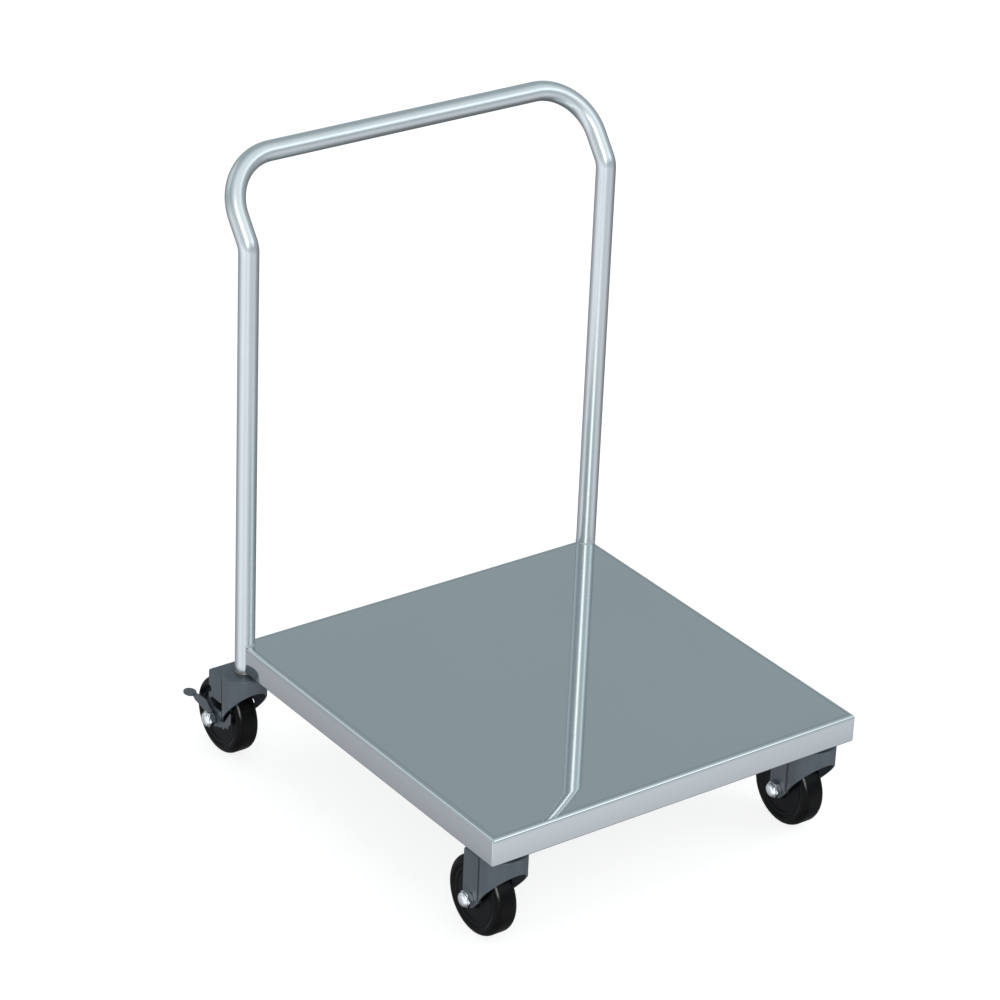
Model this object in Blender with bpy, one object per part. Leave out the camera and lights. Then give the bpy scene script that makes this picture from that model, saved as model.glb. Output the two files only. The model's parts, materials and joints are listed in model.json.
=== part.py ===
"""Stainless platform trolley: folded deck tray, two posts with a bent handle bow, four swivel castors
on stems, and foot brakes on the rear pair.

Frame: +X right, +Y to the handle side, +Z up, origin on the floor under the middle of the whole box.
"""
import math

import bmesh
import bpy
from mathutils import Vector

MM = 0.001
GAP = 0.3                      # clearance between neighbouring pieces

# Deck tray
DECK_WIDTH = 535.0             # along X
DECK_LENGTH = 540.0            # along Y
SKIRT_HEIGHT = 36.0
SHEET = 1.5
FOLD_RADIUS = 3.5
FLANGE_WIDTH = 11.0

# Tubes
TUBE_RADIUS = 12.5
TUBE_WALL = 1.5
TUBE_SIDES = 20
POST_INSET_X = 6.5
POST_INSET_Y = 5.0
KINK_ABOVE_DECK = 527.0
BOW_TILT = math.radians(37.0)  # lean back from the upright
BOW_STRAIGHT = 38.3
BOW_BEND_RADIUS = 68.5

# Castor
WHEEL_RADIUS = 50.0
WHEEL_HALF_WIDTH = 16.0
TREAD_SHOULDER = 8.0
TREAD_BORE = 37.0
SKIRT_BOTTOM = 132.0
TRAIL = 38.0
FRONT_INSET_X = 38.0
FRONT_INSET_Y = 28.5
HEAD_TOP = 78.0                # round head about the stem, above the axle
SHOULDER_TOP = 64.4            # top over the legs
FORK_SHEET = 2.3
LEG_OUTER = 20.5               # half the width over the legs
WEB_OUTER = 19.3
HOOD_RADIUS = 28.0
HEAD_RADIUS = 27.6
LEG_BACK = 12.5                # leg's back edge behind the axle
LEG_FRONT = 15.5               # fold line in front of the axle
LEG_END_RADIUS = 12.5
RIM_FRONT_Z = 60.0             # lower edge of the hood at its front, above the axle
AXLE_RADIUS = 4.0
SLEEVE_RADIUS = 8.0
HUB_HALF_LENGTH = 17.7
HEX_ACROSS = 18.0
HEX_HEIGHT = 6.5
DOME_HEIGHT = 4.5

# Stem and swivel bearing, heights above the floor
KINGPIN_RADIUS = 6.0
KINGPIN_HEAD = (111.6, 117.6)
RACE_RADIUS = 17.0
RACE_Z = (117.9, 120.9)
BALL_PITCH_RADIUS = 13.0
BALL_RADIUS = 2.1
NECK_RADIUS = 10.0
NECK_FLANGE = (13.0, 1.5)      # radius, thickness
STEM_TOP = 156.0
INSERT_LENGTH = 25.0

# Under the deck
PLATE_SIZE = (75.0, 65.0)
PLATE_THICK = 3.0
STIFFENER_Y = 135.0
STIFFENER_SECTION = (40.0, 18.0)

# Brake
LOCK_PLATE_THICK = 1.5
ARM_THICK = 2.0
PEDAL_BACK = 60.0
TAB_HALF = (8.0, 9.5)          # the foot tab's half width and half length
TAB_X = 24.6
PEDAL_Z = (11.0, 13.5)

AXLE_Z = WHEEL_RADIUS
DECK_TOP = SKIRT_BOTTOM + SKIRT_HEIGHT
UNDERSIDE = DECK_TOP - SHEET
POST_X = DECK_WIDTH / 2 - POST_INSET_X
REAR_REACH = -POST_INSET_Y + TRAIL + PEDAL_BACK
SHIFT_Y = -REAR_REACH / 2      # brings the middle of the whole box to Y = 0
DECK_FRONT = -DECK_LENGTH / 2 + SHIFT_Y
DECK_BACK = DECK_LENGTH / 2 + SHIFT_Y
POST_Y = DECK_BACK - POST_INSET_Y
FRONT_X = DECK_WIDTH / 2 - FRONT_INSET_X
FRONT_Y = DECK_FRONT + FRONT_INSET_Y
CORNERS = {
    "front_left": (-FRONT_X, FRONT_Y, False),
    "front_right": (FRONT_X, FRONT_Y, False),
    "rear_left": (-POST_X, POST_Y, True),
    "rear_right": (POST_X, POST_Y, True),
}

FINISHES = {
    "stainless": ((0.42, 0.45, 0.47), 1.0, 0.22),
    "chrome": ((0.75, 0.77, 0.80), 1.0, 0.10),
    "zinc": ((0.50, 0.50, 0.48), 1.0, 0.40),
    "fork_grey": ((0.09, 0.105, 0.125), 0.6, 0.42),
    "tyre_black": ((0.010, 0.010, 0.011), 0.0, 0.35),
    "core_black": ((0.014, 0.014, 0.015), 0.0, 0.40),
}


def clear_scene():
    for item in list(bpy.data.objects):
        bpy.data.objects.remove(item, do_unlink=True)


def finish(name):
    material = bpy.data.materials.get(name)
    if material is None:
        colour, metallic, roughness = FINISHES[name]
        material = bpy.data.materials.new(name)
        material.use_nodes = True
        shader = material.node_tree.nodes["Principled BSDF"]
        shader.inputs["Base Color"].default_value = (*colour, 1.0)
        shader.inputs["Metallic"].default_value = metallic
        shader.inputs["Roughness"].default_value = roughness
    return material


def place(name, bm, finish_name, location=(0.0, 0.0, 0.0), parent=None):
    """Turn a bmesh in millimetres into a named object at a location in millimetres."""
    bmesh.ops.recalc_face_normals(bm, faces=bm.faces)
    bmesh.ops.scale(bm, vec=(MM, MM, MM), verts=bm.verts)
    mesh = bpy.data.meshes.new(name)
    bm.to_mesh(mesh)
    bm.free()
    mesh.shade_smooth()
    mesh.set_sharp_from_angle(angle=math.radians(35.0))
    mesh.materials.append(finish(finish_name))
    item = bpy.data.objects.new(name, mesh)
    bpy.context.collection.objects.link(item)
    item.location = Vector(location) * MM
    item.parent = parent
    return item


def pivot(name, location, parent=None):
    item = bpy.data.objects.new(name, None)
    bpy.context.collection.objects.link(item)
    item.location = Vector(location) * MM
    item.parent = parent
    return item


def cut(item, cutter, operation="DIFFERENCE"):
    """Add a live Boolean and hide its cutter."""
    cutter.hide_render = True
    cutter.display_type = "WIRE"
    modifier = item.modifiers.new(cutter.name, "BOOLEAN")
    modifier.operation = operation
    modifier.solver = "EXACT"
    modifier.object = cutter


def extruded(outline, low, high, axis="Z"):
    """A prism: the outline is (x, y) swept along Z, or (y, z) swept along X."""
    bm = bmesh.new()
    if axis == "Z":
        ring = [bm.verts.new((a, b, low)) for a, b in outline]
        step = Vector((0.0, 0.0, high - low))
    else:
        ring = [bm.verts.new((low, a, b)) for a, b in outline]
        step = Vector((high - low, 0.0, 0.0))
    face = bm.faces.new(ring)
    grown = bmesh.ops.extrude_face_region(bm, geom=[face])
    moved = [part for part in grown["geom"] if isinstance(part, bmesh.types.BMVert)]
    bmesh.ops.translate(bm, vec=step, verts=moved)
    return bm


def box(low, high):
    outline = [(low[0], low[1]), (high[0], low[1]), (high[0], high[1]), (low[0], high[1])]
    return extruded(outline, low[2], high[2])


def turned(profile, sides, axis="Z", start=0.0):
    """A solid of revolution from a closed profile of (radius, height) points."""
    bm = bmesh.new()
    rings = []
    for radius, height in profile:
        ring = []
        for index in range(sides if radius > 0 else 1):
            angle = start + math.tau * index / sides
            across = radius * math.cos(angle)
            along = radius * math.sin(angle)
            point = (across, along, height) if axis == "Z" else (height, across, along)
            ring.append(bm.verts.new(point))
        rings.append(ring)
    for first, second in zip(rings, rings[1:] + rings[:1]):
        if len(first) == 1 and len(second) == 1:
            continue
        for index in range(sides):
            after = (index + 1) % sides
            corners = [first[index % len(first)], first[after % len(first)],
                       second[after % len(second)], second[index % len(second)]]
            unique = list(dict.fromkeys(corners))
            bm.faces.new(unique)
    return bm


def arc(centre, radius, start, end, steps):
    """Points along an arc, angles in degrees."""
    points = []
    for index in range(steps + 1):
        angle = math.radians(start + (end - start) * index / steps)
        points.append((centre[0] + radius * math.cos(angle), centre[1] + radius * math.sin(angle)))
    return points


def tube_through(rings_outer, rings_inner):
    """A pipe wall from matching lists of outer and inner rings."""
    bm = bmesh.new()
    outer = [[bm.verts.new(point) for point in ring] for ring in rings_outer]
    inner = [[bm.verts.new(point) for point in ring] for ring in rings_inner]
    loops = outer + inner[::-1]
    for first, second in zip(loops, loops[1:] + loops[:1]):
        for index in range(len(first)):
            after = (index + 1) % len(first)
            bm.faces.new((first[index], first[after], second[after], second[index]))
    return bm


def pipe(low, high, radius, wall, sides):
    return turned([(radius, low), (radius, high), (radius - wall, high), (radius - wall, low)], sides)


# ---- Frame

def make_deck_tray():
    """A box with folded top edges, open below inside a return flange, given its sheet thickness."""
    half_x = DECK_WIDTH / 2
    bm = box((-half_x, DECK_FRONT, SKIRT_BOTTOM), (half_x, DECK_BACK, DECK_TOP))
    bmesh.ops.recalc_face_normals(bm, faces=bm.faces)
    top_edges = [edge for edge in bm.edges if all(vert.co.z > DECK_TOP - 1 for vert in edge.verts)]
    bmesh.ops.bevel(bm, geom=top_edges, offset=FOLD_RADIUS, segments=3, profile=0.5, affect="EDGES")
    bottom = next(face for face in bm.faces if face.normal.z < -0.9)
    bmesh.ops.inset_region(bm, faces=[bottom], thickness=FLANGE_WIDTH, use_even_offset=True)
    bmesh.ops.delete(bm, geom=[bottom], context="FACES")
    tray = place("deck_tray", bm, "stainless")
    wall = tray.modifiers.new("sheet", "SOLIDIFY")
    wall.thickness = SHEET * MM
    wall.offset = -1.0
    wall.use_even_offset = True
    return tray


def notch_cutter(name, x, y):
    bm = turned([(0, -1), (TUBE_RADIUS + GAP, -1), (TUBE_RADIUS + GAP, SKIRT_HEIGHT + 1),
                 (0, SKIRT_HEIGHT + 1)], TUBE_SIDES)
    return place(name, bm, "zinc", (x, y, SKIRT_BOTTOM))


def make_stiffener(name, y):
    """A channel, open downwards, spot welded under the deck."""
    half = STIFFENER_SECTION[0] / 2
    top = UNDERSIDE - GAP
    low = top - STIFFENER_SECTION[1]
    outline = [(y - half, low), (y - half, top), (y + half, top), (y + half, low),
               (y + half - SHEET, low), (y + half - SHEET, top - SHEET),
               (y - half + SHEET, top - SHEET), (y - half + SHEET, low)]
    reach = DECK_WIDTH / 2 - FOLD_RADIUS - GAP
    return place(name, extruded(outline, -reach, reach, axis="X"), "stainless")


def make_gusset(corner, side, rear, cutter):
    """A flat plate across the corner, lying on the skirt's return flange."""
    edge = SHEET + GAP
    outer_x = side * (DECK_WIDTH / 2 - edge)
    inner_x = side * (DECK_WIDTH / 2 - PLATE_SIZE[0])
    outer_y = DECK_BACK - edge if rear else DECK_FRONT + edge
    inner_y = DECK_BACK - PLATE_SIZE[1] if rear else DECK_FRONT + PLATE_SIZE[1]
    low = SKIRT_BOTTOM + SHEET + GAP
    bm = box((min(outer_x, inner_x), min(outer_y, inner_y), low),
             (max(outer_x, inner_x), max(outer_y, inner_y), low + PLATE_THICK))
    plate = place("gusset_" + corner, bm, "stainless")
    cut(plate, cutter)
    return plate


def kink_plane(side):
    """A point on the mitre between a post and the bow, its normal, and the bow's direction."""
    point = Vector((side * POST_X, POST_Y, DECK_TOP + KINK_ABOVE_DECK))
    lean = Vector((0.0, math.sin(BOW_TILT), math.cos(BOW_TILT)))
    normal = (lean + Vector((0.0, 0.0, 1.0))).normalized()
    return point, normal, lean


def mitred(ring, point, normal, direction):
    """Slide each point of a ring along a direction until it meets a plane."""
    return [spot + direction * ((point - spot).dot(normal) / direction.dot(normal)) for spot in ring]


def ring_at(centre, first, second, radius):
    points = []
    for index in range(TUBE_SIDES):
        angle = math.tau * index / TUBE_SIDES
        points.append(centre + first * (radius * math.cos(angle)) + second * (radius * math.sin(angle)))
    return points


def make_post(name, side):
    point, normal, _ = kink_plane(side)
    point = point - normal * (GAP / 2)
    up = Vector((0.0, 0.0, 1.0))
    foot = Vector((point.x, POST_Y, SKIRT_BOTTOM))
    walls = []
    for radius in (TUBE_RADIUS, TUBE_RADIUS - TUBE_WALL):
        low = ring_at(foot, Vector((1.0, 0.0, 0.0)), Vector((0.0, 1.0, 0.0)), radius)
        walls.append([low, mitred(low, point, normal, up)])
    return place(name, tube_through(*walls), "stainless")


def bow_stations():
    """Centres and tangents along the bow's own plane, as (across, along) pairs."""
    stations = [((-POST_X, 0.0), (0.0, 1.0))]
    bend = (-POST_X + BOW_BEND_RADIUS, BOW_STRAIGHT)
    steps = 7
    for index in range(steps + 1):
        angle = math.pi / 2 * index / steps
        centre = (bend[0] - BOW_BEND_RADIUS * math.cos(angle), bend[1] + BOW_BEND_RADIUS * math.sin(angle))
        stations.append((centre, (math.sin(angle), math.cos(angle))))
    mirrored = [((-centre[0], centre[1]), (tangent[0], -tangent[1])) for centre, tangent in stations[::-1]]
    return stations + mirrored


def make_handle_bow():
    """One tube swept along its bent path, cut on the mitre at both ends."""
    point, normal, lean = kink_plane(1)
    base = Vector((0.0, point.y, point.z))
    across = Vector((1.0, 0.0, 0.0))
    face = across.cross(lean)
    walls = []
    for radius in (TUBE_RADIUS, TUBE_RADIUS - TUBE_WALL):
        rings = []
        for centre, tangent in bow_stations():
            place_at = base + across * centre[0] + lean * centre[1]
            sideways = across * tangent[1] - lean * tangent[0]
            rings.append(ring_at(place_at, sideways, face, radius))
        lifted = base + normal * (GAP / 2)
        rings[0] = mitred(rings[0], lifted, normal, lean)
        rings[-1] = mitred(rings[-1], lifted, normal, lean)
        walls.append(rings)
    return place("handle_bow", tube_through(*walls), "stainless")


def make_frame():
    tray = make_deck_tray()
    for index, y in enumerate((-STIFFENER_Y, STIFFENER_Y)):
        make_stiffener(("deck_stiffener_front", "deck_stiffener_rear")[index], y + SHIFT_Y)
    for corner, (x, y, rear) in CORNERS.items():
        side = math.copysign(1, x)
        cutter = notch_cutter("cutter_" + corner, x, y)
        make_gusset(corner, side, rear, cutter)
        if rear:
            cut(tray, cutter)
            make_post("post_" + corner.split("_")[1], side)
        else:
            tube = pipe(SKIRT_BOTTOM, UNDERSIDE - GAP, TUBE_RADIUS, TUBE_WALL, TUBE_SIDES)
            place("socket_" + corner, tube, "stainless", (x, y, 0))
        wall = TUBE_RADIUS - TUBE_WALL - GAP - KINGPIN_RADIUS - GAP
        insert = pipe(SKIRT_BOTTOM, SKIRT_BOTTOM + INSERT_LENGTH, TUBE_RADIUS - TUBE_WALL - GAP, wall, 12)
        place("insert_" + corner, insert, "zinc", (x, y, 0))
    make_handle_bow()


# ---- Castors

def make_stem(corner, x, y):
    """Kingpin head, kingpin, neck and threaded stud in one turned piece."""
    neck_low = AXLE_Z + HEAD_TOP + GAP
    flange_radius, flange_thick = NECK_FLANGE
    profile = [(0, KINGPIN_HEAD[0]), (9, KINGPIN_HEAD[0]), (9, KINGPIN_HEAD[1]),
               (KINGPIN_RADIUS, KINGPIN_HEAD[1]), (KINGPIN_RADIUS, neck_low), (flange_radius, neck_low),
               (flange_radius, neck_low + flange_thick), (NECK_RADIUS, neck_low + flange_thick),
               (NECK_RADIUS, SKIRT_BOTTOM - GAP), (KINGPIN_RADIUS, SKIRT_BOTTOM - GAP),
               (KINGPIN_RADIUS, STEM_TOP), (0, STEM_TOP)]
    place("stem_" + corner, turned(profile, 12), "zinc", (x, y, 0))
    inner = KINGPIN_RADIUS + GAP
    race = [(inner, RACE_Z[0]), (RACE_RADIUS, RACE_Z[0]), (RACE_RADIUS, RACE_Z[1]), (inner, RACE_Z[1])]
    place("lower_race_" + corner, turned(race, 12), "zinc", (x, y, 0))


def make_ball_race(corner, parent):
    """The caged ball row, kept as one closed ring."""
    middle = (RACE_Z[1] + AXLE_Z + HEAD_TOP - FORK_SHEET) / 2
    ring = arc((BALL_PITCH_RADIUS, middle), BALL_RADIUS, 0, 300, 5)
    place("ball_race_" + corner, turned(ring, 16), "zinc", (0, 0, 0), parent)


def plan_outline(leg, web, fold, hood, back):
    """Half of the fork seen from above: leg, fold, web tangent to the hood, hood; then mirrored."""
    start = (web, fold - 0.7)
    reach = math.hypot(*start)
    angle = math.degrees(math.atan2(start[1], start[0]) - math.acos(hood / reach))
    half = [(leg, back), (leg, fold), start] + arc((0, 0), hood, angle, -90, 8)
    return half + [(-x, y) for x, y in half[-2::-1]]


def side_profile():
    """The fork seen from the side, about the axle: round end, back edge, top, slanting lower rim."""
    top = HEAD_TOP + 5
    front = -TRAIL - HOOD_RADIUS
    reach = math.hypot(front, RIM_FRONT_Z)
    tangent = math.degrees(math.atan2(RIM_FRONT_Z, front) + math.acos(LEG_END_RADIUS / reach))
    lower = arc((0, 0), LEG_END_RADIUS, tangent, 350, 6)
    back = [(LEG_BACK, 20), (LEG_BACK, SHOULDER_TOP - 4), (LEG_BACK - 1.2, SHOULDER_TOP - 1.2),
            (LEG_BACK - 4, SHOULDER_TOP), (LEG_BACK - 4, top)]
    return lower + back + [(front - 5, top), (front - 5, RIM_FRONT_Z + 1), (front, RIM_FRONT_Z)]


def step_outline(radius):
    """Everything behind and beside the round head, seen from above."""
    ring = arc((0, 0), radius, 28, 152, 9)
    return [(60, ring[0][1])] + ring + [(-60, ring[0][1]), (-60, 90), (60, 90)]


def make_fork(corner, swivel, braked):
    """A pressed fork: an outline with a lower shoulder behind its round head, hollowed, then trimmed."""
    low = AXLE_Z - LEG_END_RADIUS - 2
    head = AXLE_Z + HEAD_TOP
    shoulder = AXLE_Z + SHOULDER_TOP
    outer = plan_outline(LEG_OUTER, WEB_OUTER, TRAIL - LEG_FRONT, HOOD_RADIUS, TRAIL + LEG_BACK + 2)
    inner = plan_outline(LEG_OUTER - FORK_SHEET, WEB_OUTER - FORK_SHEET, TRAIL - LEG_FRONT - 0.5,
                         HOOD_RADIUS - FORK_SHEET, TRAIL + LEG_BACK + 8)
    fork = place("fork_" + corner, extruded(outer, low, head), "fork_grey", parent=swivel)
    hollow = place("hollow_" + corner, extruded(inner, low - 5, head - FORK_SHEET), "zinc", parent=swivel)
    for item, radius, top in ((fork, HEAD_RADIUS, shoulder),
                              (hollow, HEAD_RADIUS - FORK_SHEET, shoulder - FORK_SHEET)):
        step = place("step_" + item.name, extruded(step_outline(radius), top, head + 5), "zinc",
                     parent=swivel)
        cut(item, step)
    trim = place("trim_" + corner, extruded(side_profile(), -40, 40, axis="X"), "zinc",
                 (0, TRAIL, AXLE_Z), swivel)
    cut(fork, hollow)
    cut(fork, trim, "INTERSECT")
    kingpin_hole = place("kingpin_hole_" + corner,
                         turned([(0, head - 10), (KINGPIN_RADIUS + GAP, head - 10),
                                 (KINGPIN_RADIUS + GAP, head + 10), (0, head + 10)], 12), "zinc",
                         parent=swivel)
    axle_hole = place("axle_hole_" + corner,
                      turned([(0, -30), (AXLE_RADIUS + GAP, -30), (AXLE_RADIUS + GAP, 30), (0, 30)], 12,
                             axis="X"), "zinc", (0, TRAIL, AXLE_Z), swivel)
    cut(fork, kingpin_hole)
    cut(fork, axle_hole)
    if braked:
        stop_notch = place("stop_notch_" + corner,
                           turned([(0, -30), (5, -30), (5, 30), (0, 30)], 10, axis="X"), "zinc",
                           (0, TRAIL + LEG_BACK - 1, AXLE_Z + 36), swivel)
        cut(fork, stop_notch)
        slot = arc((3, 20.5), 6.5, -90, 90, 6) + arc((-19, 20.5), 6.5, 90, 270, 6)
        window = place("window_" + corner, extruded(slot, -30, 30, axis="X"), "zinc",
                       (0, TRAIL, AXLE_Z), swivel)
        cut(fork, window)


def axle_cap(inner_face, outward, depth):
    """Closed profile of a domed cap on the axle; depth is its bore, or below zero for a shank."""
    dome = [(8.6, HEX_HEIGHT), (7.4, HEX_HEIGHT + 2.9), (4.4, HEX_HEIGHT + 4.1), (0, HEX_HEIGHT + DOME_HEIGHT)]
    rim = HEX_ACROSS / 2 + 0.8
    if depth > 0:
        bore = AXLE_RADIUS + GAP
        profile = [(0, depth), (bore, depth), (bore, 0), (rim, 0), (rim, HEX_HEIGHT)] + dome
    else:
        profile = [(0, depth), (AXLE_RADIUS, depth), (AXLE_RADIUS, 0), (rim, 0), (rim, HEX_HEIGHT)] + dome
    return [(radius, inner_face + outward * height) for radius, height in profile]


def make_axle(corner, swivel, left_face, right_face):
    """Sleeve between the legs, bolt through it from the left, domed nut on the right."""
    centre = (0, TRAIL, AXLE_Z)
    reach = LEG_OUTER - FORK_SHEET - GAP
    inner = AXLE_RADIUS + GAP
    sleeve = [(inner, -reach), (SLEEVE_RADIUS, -reach), (SLEEVE_RADIUS, reach), (inner, reach)]
    place("axle_sleeve_" + corner, turned(sleeve, 12, axis="X"), "zinc", centre, swivel)
    bolt = axle_cap(-left_face, -1, -left_face - right_face - HEX_HEIGHT + 1)
    place("axle_bolt_" + corner, turned(bolt, 12, axis="X"), "chrome", centre, swivel)
    nut = axle_cap(right_face, 1, HEX_HEIGHT)
    place("axle_nut_" + corner, turned(nut, 12, axis="X"), "chrome", centre, swivel)


def make_wheel(corner, swivel):
    """Tread ring with rounded shoulders on a webbed core, both about the axle."""
    axle = pivot("wheel_axis_" + corner, (0, TRAIL, AXLE_Z), swivel)
    edge = WHEEL_RADIUS - TREAD_SHOULDER
    flat = WHEEL_HALF_WIDTH - TREAD_SHOULDER
    right = [(radius, x) for x, radius in arc((flat, edge), TREAD_SHOULDER, 0, 90, 3)]
    left = [(radius, -x) for radius, x in right[::-1]]
    tread = [(TREAD_BORE, WHEEL_HALF_WIDTH - 1)] + right + left + [(TREAD_BORE, -WHEEL_HALF_WIDTH + 1)]
    place("tyre_" + corner, turned(tread, 28, axis="X"), "tyre_black", parent=axle)
    bore = SLEEVE_RADIUS + GAP
    rim = TREAD_BORE - GAP
    half = [(bore, HUB_HALF_LENGTH), (14, HUB_HALF_LENGTH), (15, 9), (31, 9), (33, 14), (rim, 14)]
    core = half + [(radius, -x) for radius, x in half[::-1]]
    place("wheel_core_" + corner, turned(core, 20, axis="X"), "core_black", parent=axle)


def make_lock_plate(corner, swivel, side):
    """A toothed plate on the outside of the outer leg, just under the slanting rim."""
    outline = [(-9, -5), (-15, -8), (-20, -4), (-25, -6), (-29, 0), (-34, -1), (-37, 6), (-40, 8),
               (-40.5, 26), (-27, 6), (-16, 2), (-9, 8)]
    low = LEG_OUTER + GAP
    span = sorted((side * low, side * (low + LOCK_PLATE_THICK)))
    place("lock_plate_" + corner, extruded(outline, *span, axis="X"), "fork_grey", (0, TRAIL, AXLE_Z),
          swivel)


def make_brake(corner, swivel, side):
    """A lever on the axle outside the outer leg, with an oval foot tab bent over at its end."""
    hinge = pivot("brake_axis_" + corner, (0, TRAIL, AXLE_Z), swivel)
    low = LEG_OUTER + GAP + LOCK_PLATE_THICK + GAP
    span = sorted((side * low, side * (low + ARM_THICK)))
    outline = arc((0, 0), 8.5, 150, 320, 6) + [(14, 2), (40, 7), (46, 12.2), (38, 17), (14, 19.5)]
    pedal = place("brake_pedal_" + corner, extruded(outline, *span, axis="X"), "fork_grey", parent=hinge)
    half_wide, half_long = TAB_HALF
    oval = [(side * TAB_X + half_wide * x, PEDAL_BACK - half_long + half_long * y)
            for x, y in arc((0, 0), 1, 0, 345, 23)]
    tab = place("tab_" + corner, extruded(oval, *PEDAL_Z), "fork_grey", parent=hinge)
    cut(pedal, tab, "UNION")
    bore = place("brake_bore_" + corner,
                 turned([(0, -40), (AXLE_RADIUS + GAP, -40), (AXLE_RADIUS + GAP, 40), (0, 40)], 12,
                        axis="X"), "zinc", parent=hinge)
    cut(pedal, bore)


def make_castor(corner, x, y, braked):
    make_stem(corner, x, y)
    swivel = pivot("swivel_axis_" + corner, (x, y, 0))
    make_ball_race(corner, swivel)
    make_fork(corner, swivel, braked)
    faces = [LEG_OUTER + GAP, LEG_OUTER + GAP]
    if braked:
        side = 1 if x > 0 else -1
        faces[x > 0] += LOCK_PLATE_THICK + ARM_THICK + 2 * GAP
        make_lock_plate(corner, swivel, side)
        make_brake(corner, swivel, side)
    make_axle(corner, swivel, *faces)
    make_wheel(corner, swivel)


def main():
    clear_scene()
    make_frame()
    for corner, (x, y, braked) in CORNERS.items():
        make_castor(corner, x, y, braked)


main()
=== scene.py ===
import json
import bmesh
import bpy
import numpy as np
from mathutils import Matrix, Vector


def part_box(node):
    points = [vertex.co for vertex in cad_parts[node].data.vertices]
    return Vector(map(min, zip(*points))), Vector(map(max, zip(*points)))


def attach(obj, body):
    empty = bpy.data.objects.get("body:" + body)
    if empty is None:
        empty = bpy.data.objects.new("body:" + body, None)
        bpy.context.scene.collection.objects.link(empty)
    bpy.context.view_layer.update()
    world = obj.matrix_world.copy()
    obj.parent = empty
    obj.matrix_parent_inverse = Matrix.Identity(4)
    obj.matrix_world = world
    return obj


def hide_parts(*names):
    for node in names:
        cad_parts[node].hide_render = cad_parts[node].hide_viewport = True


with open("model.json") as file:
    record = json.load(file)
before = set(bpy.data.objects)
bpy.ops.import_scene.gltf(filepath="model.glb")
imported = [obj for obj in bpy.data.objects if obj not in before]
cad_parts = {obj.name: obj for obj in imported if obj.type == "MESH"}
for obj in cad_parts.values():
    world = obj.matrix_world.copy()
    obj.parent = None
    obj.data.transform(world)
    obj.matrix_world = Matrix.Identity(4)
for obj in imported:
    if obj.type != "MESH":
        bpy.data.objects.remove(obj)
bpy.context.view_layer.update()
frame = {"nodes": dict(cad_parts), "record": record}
mm = 0.001


# A socket that does its own arithmetic: each operator adds one Math node.
class Wire:
    def __init__(self, nodes, socket):
        self.nodes = nodes
        self.socket = socket

    def maths(self, operation, first, second=0.0):
        return self.nodes.node("Math", {"operation": operation}, {0: first, 1: second})

    def __add__(self, other):
        return self.maths("ADD", self, other)

    def __radd__(self, other):
        return self.maths("ADD", other, self)

    def __sub__(self, other):
        return self.maths("SUBTRACT", self, other)

    def __rsub__(self, other):
        return self.maths("SUBTRACT", other, self)

    def __mul__(self, other):
        return self.maths("MULTIPLY", self, other)

    def __rmul__(self, other):
        return self.maths("MULTIPLY", other, self)


# A node tree that is filled through one method.
class Nodes:
    def __init__(self, tree):
        self.tree = tree

    def node(self, kind, settings, inputs, output=0):
        made = self.tree.nodes.new("ShaderNode" + kind)
        for key, value in settings.items():
            setattr(made, key, value)
        for key, value in inputs.items():
            self.feed(made.inputs[key], value)
        return Wire(self, made.outputs[output])

    def feed(self, socket, value):
        if isinstance(value, Wire):
            self.tree.links.new(value.socket, socket)
        else:
            socket.default_value = value

    def ramp(self, wire, low, high, first=0.0, last=1.0):
        span = {"Value": wire, "From Min": low, "From Max": high, "To Min": first, "To Max": last}
        return self.node("MapRange", {"interpolation_type": "SMOOTHSTEP"}, span)

    def blend(self, amount, first, second):
        return self.node("Mix", {"data_type": "RGBA"}, {0: amount, 6: first, 7: second}, 2)


# One material and what drives its Principled shader; its patterns lie on Object coordinates.
class Paint(Nodes):
    def __init__(self, name, **values):
        self.material = bpy.data.materials.new(name)
        self.material.use_nodes = True
        super().__init__(self.material.node_tree)
        self.shader = self.tree.nodes["Principled BSDF"]
        for socket, value in values.items():
            self.shader.inputs[socket.replace("_", " ")].default_value = value
        self.place = self.node("TexCoord", {}, {}, "Object")

    def drive(self, socket, value):
        self.feed(self.shader.inputs[socket], value)

    def noise(self, scale, detail=3.0, roughness=0.5):
        stretched = self.node("Mapping", {}, {"Vector": self.place, "Scale": scale})
        return self.node("TexNoise", {}, {"Vector": stretched, "Scale": 1.0, "Detail": detail,
                                          "Roughness": roughness})

    def bump(self, height, distance):
        self.drive("Normal", self.node("Bump", {}, {"Height": height, "Distance": distance}))


def rgb(red, green, blue):
    return (red, green, blue, 1.0)


# Painted shade: the darkest colour, for the line by the folds; painted light: the lighter skirt colour.
deckFinish = dict(dark=rgb(0.525, 0.565, 0.58), light=rgb(0.56, 0.605, 0.62),
                  bent=rgb(0.40, 0.44, 0.46), skirt=rgb(0.62, 0.65, 0.67), skirtTop=0.1635,
                  smooth=0.012, grain=0.02, scuff=0.03,
                  shadeLineInset=0.0065, half=(0.2675, 0.270), middle=-0.0465)
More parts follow.
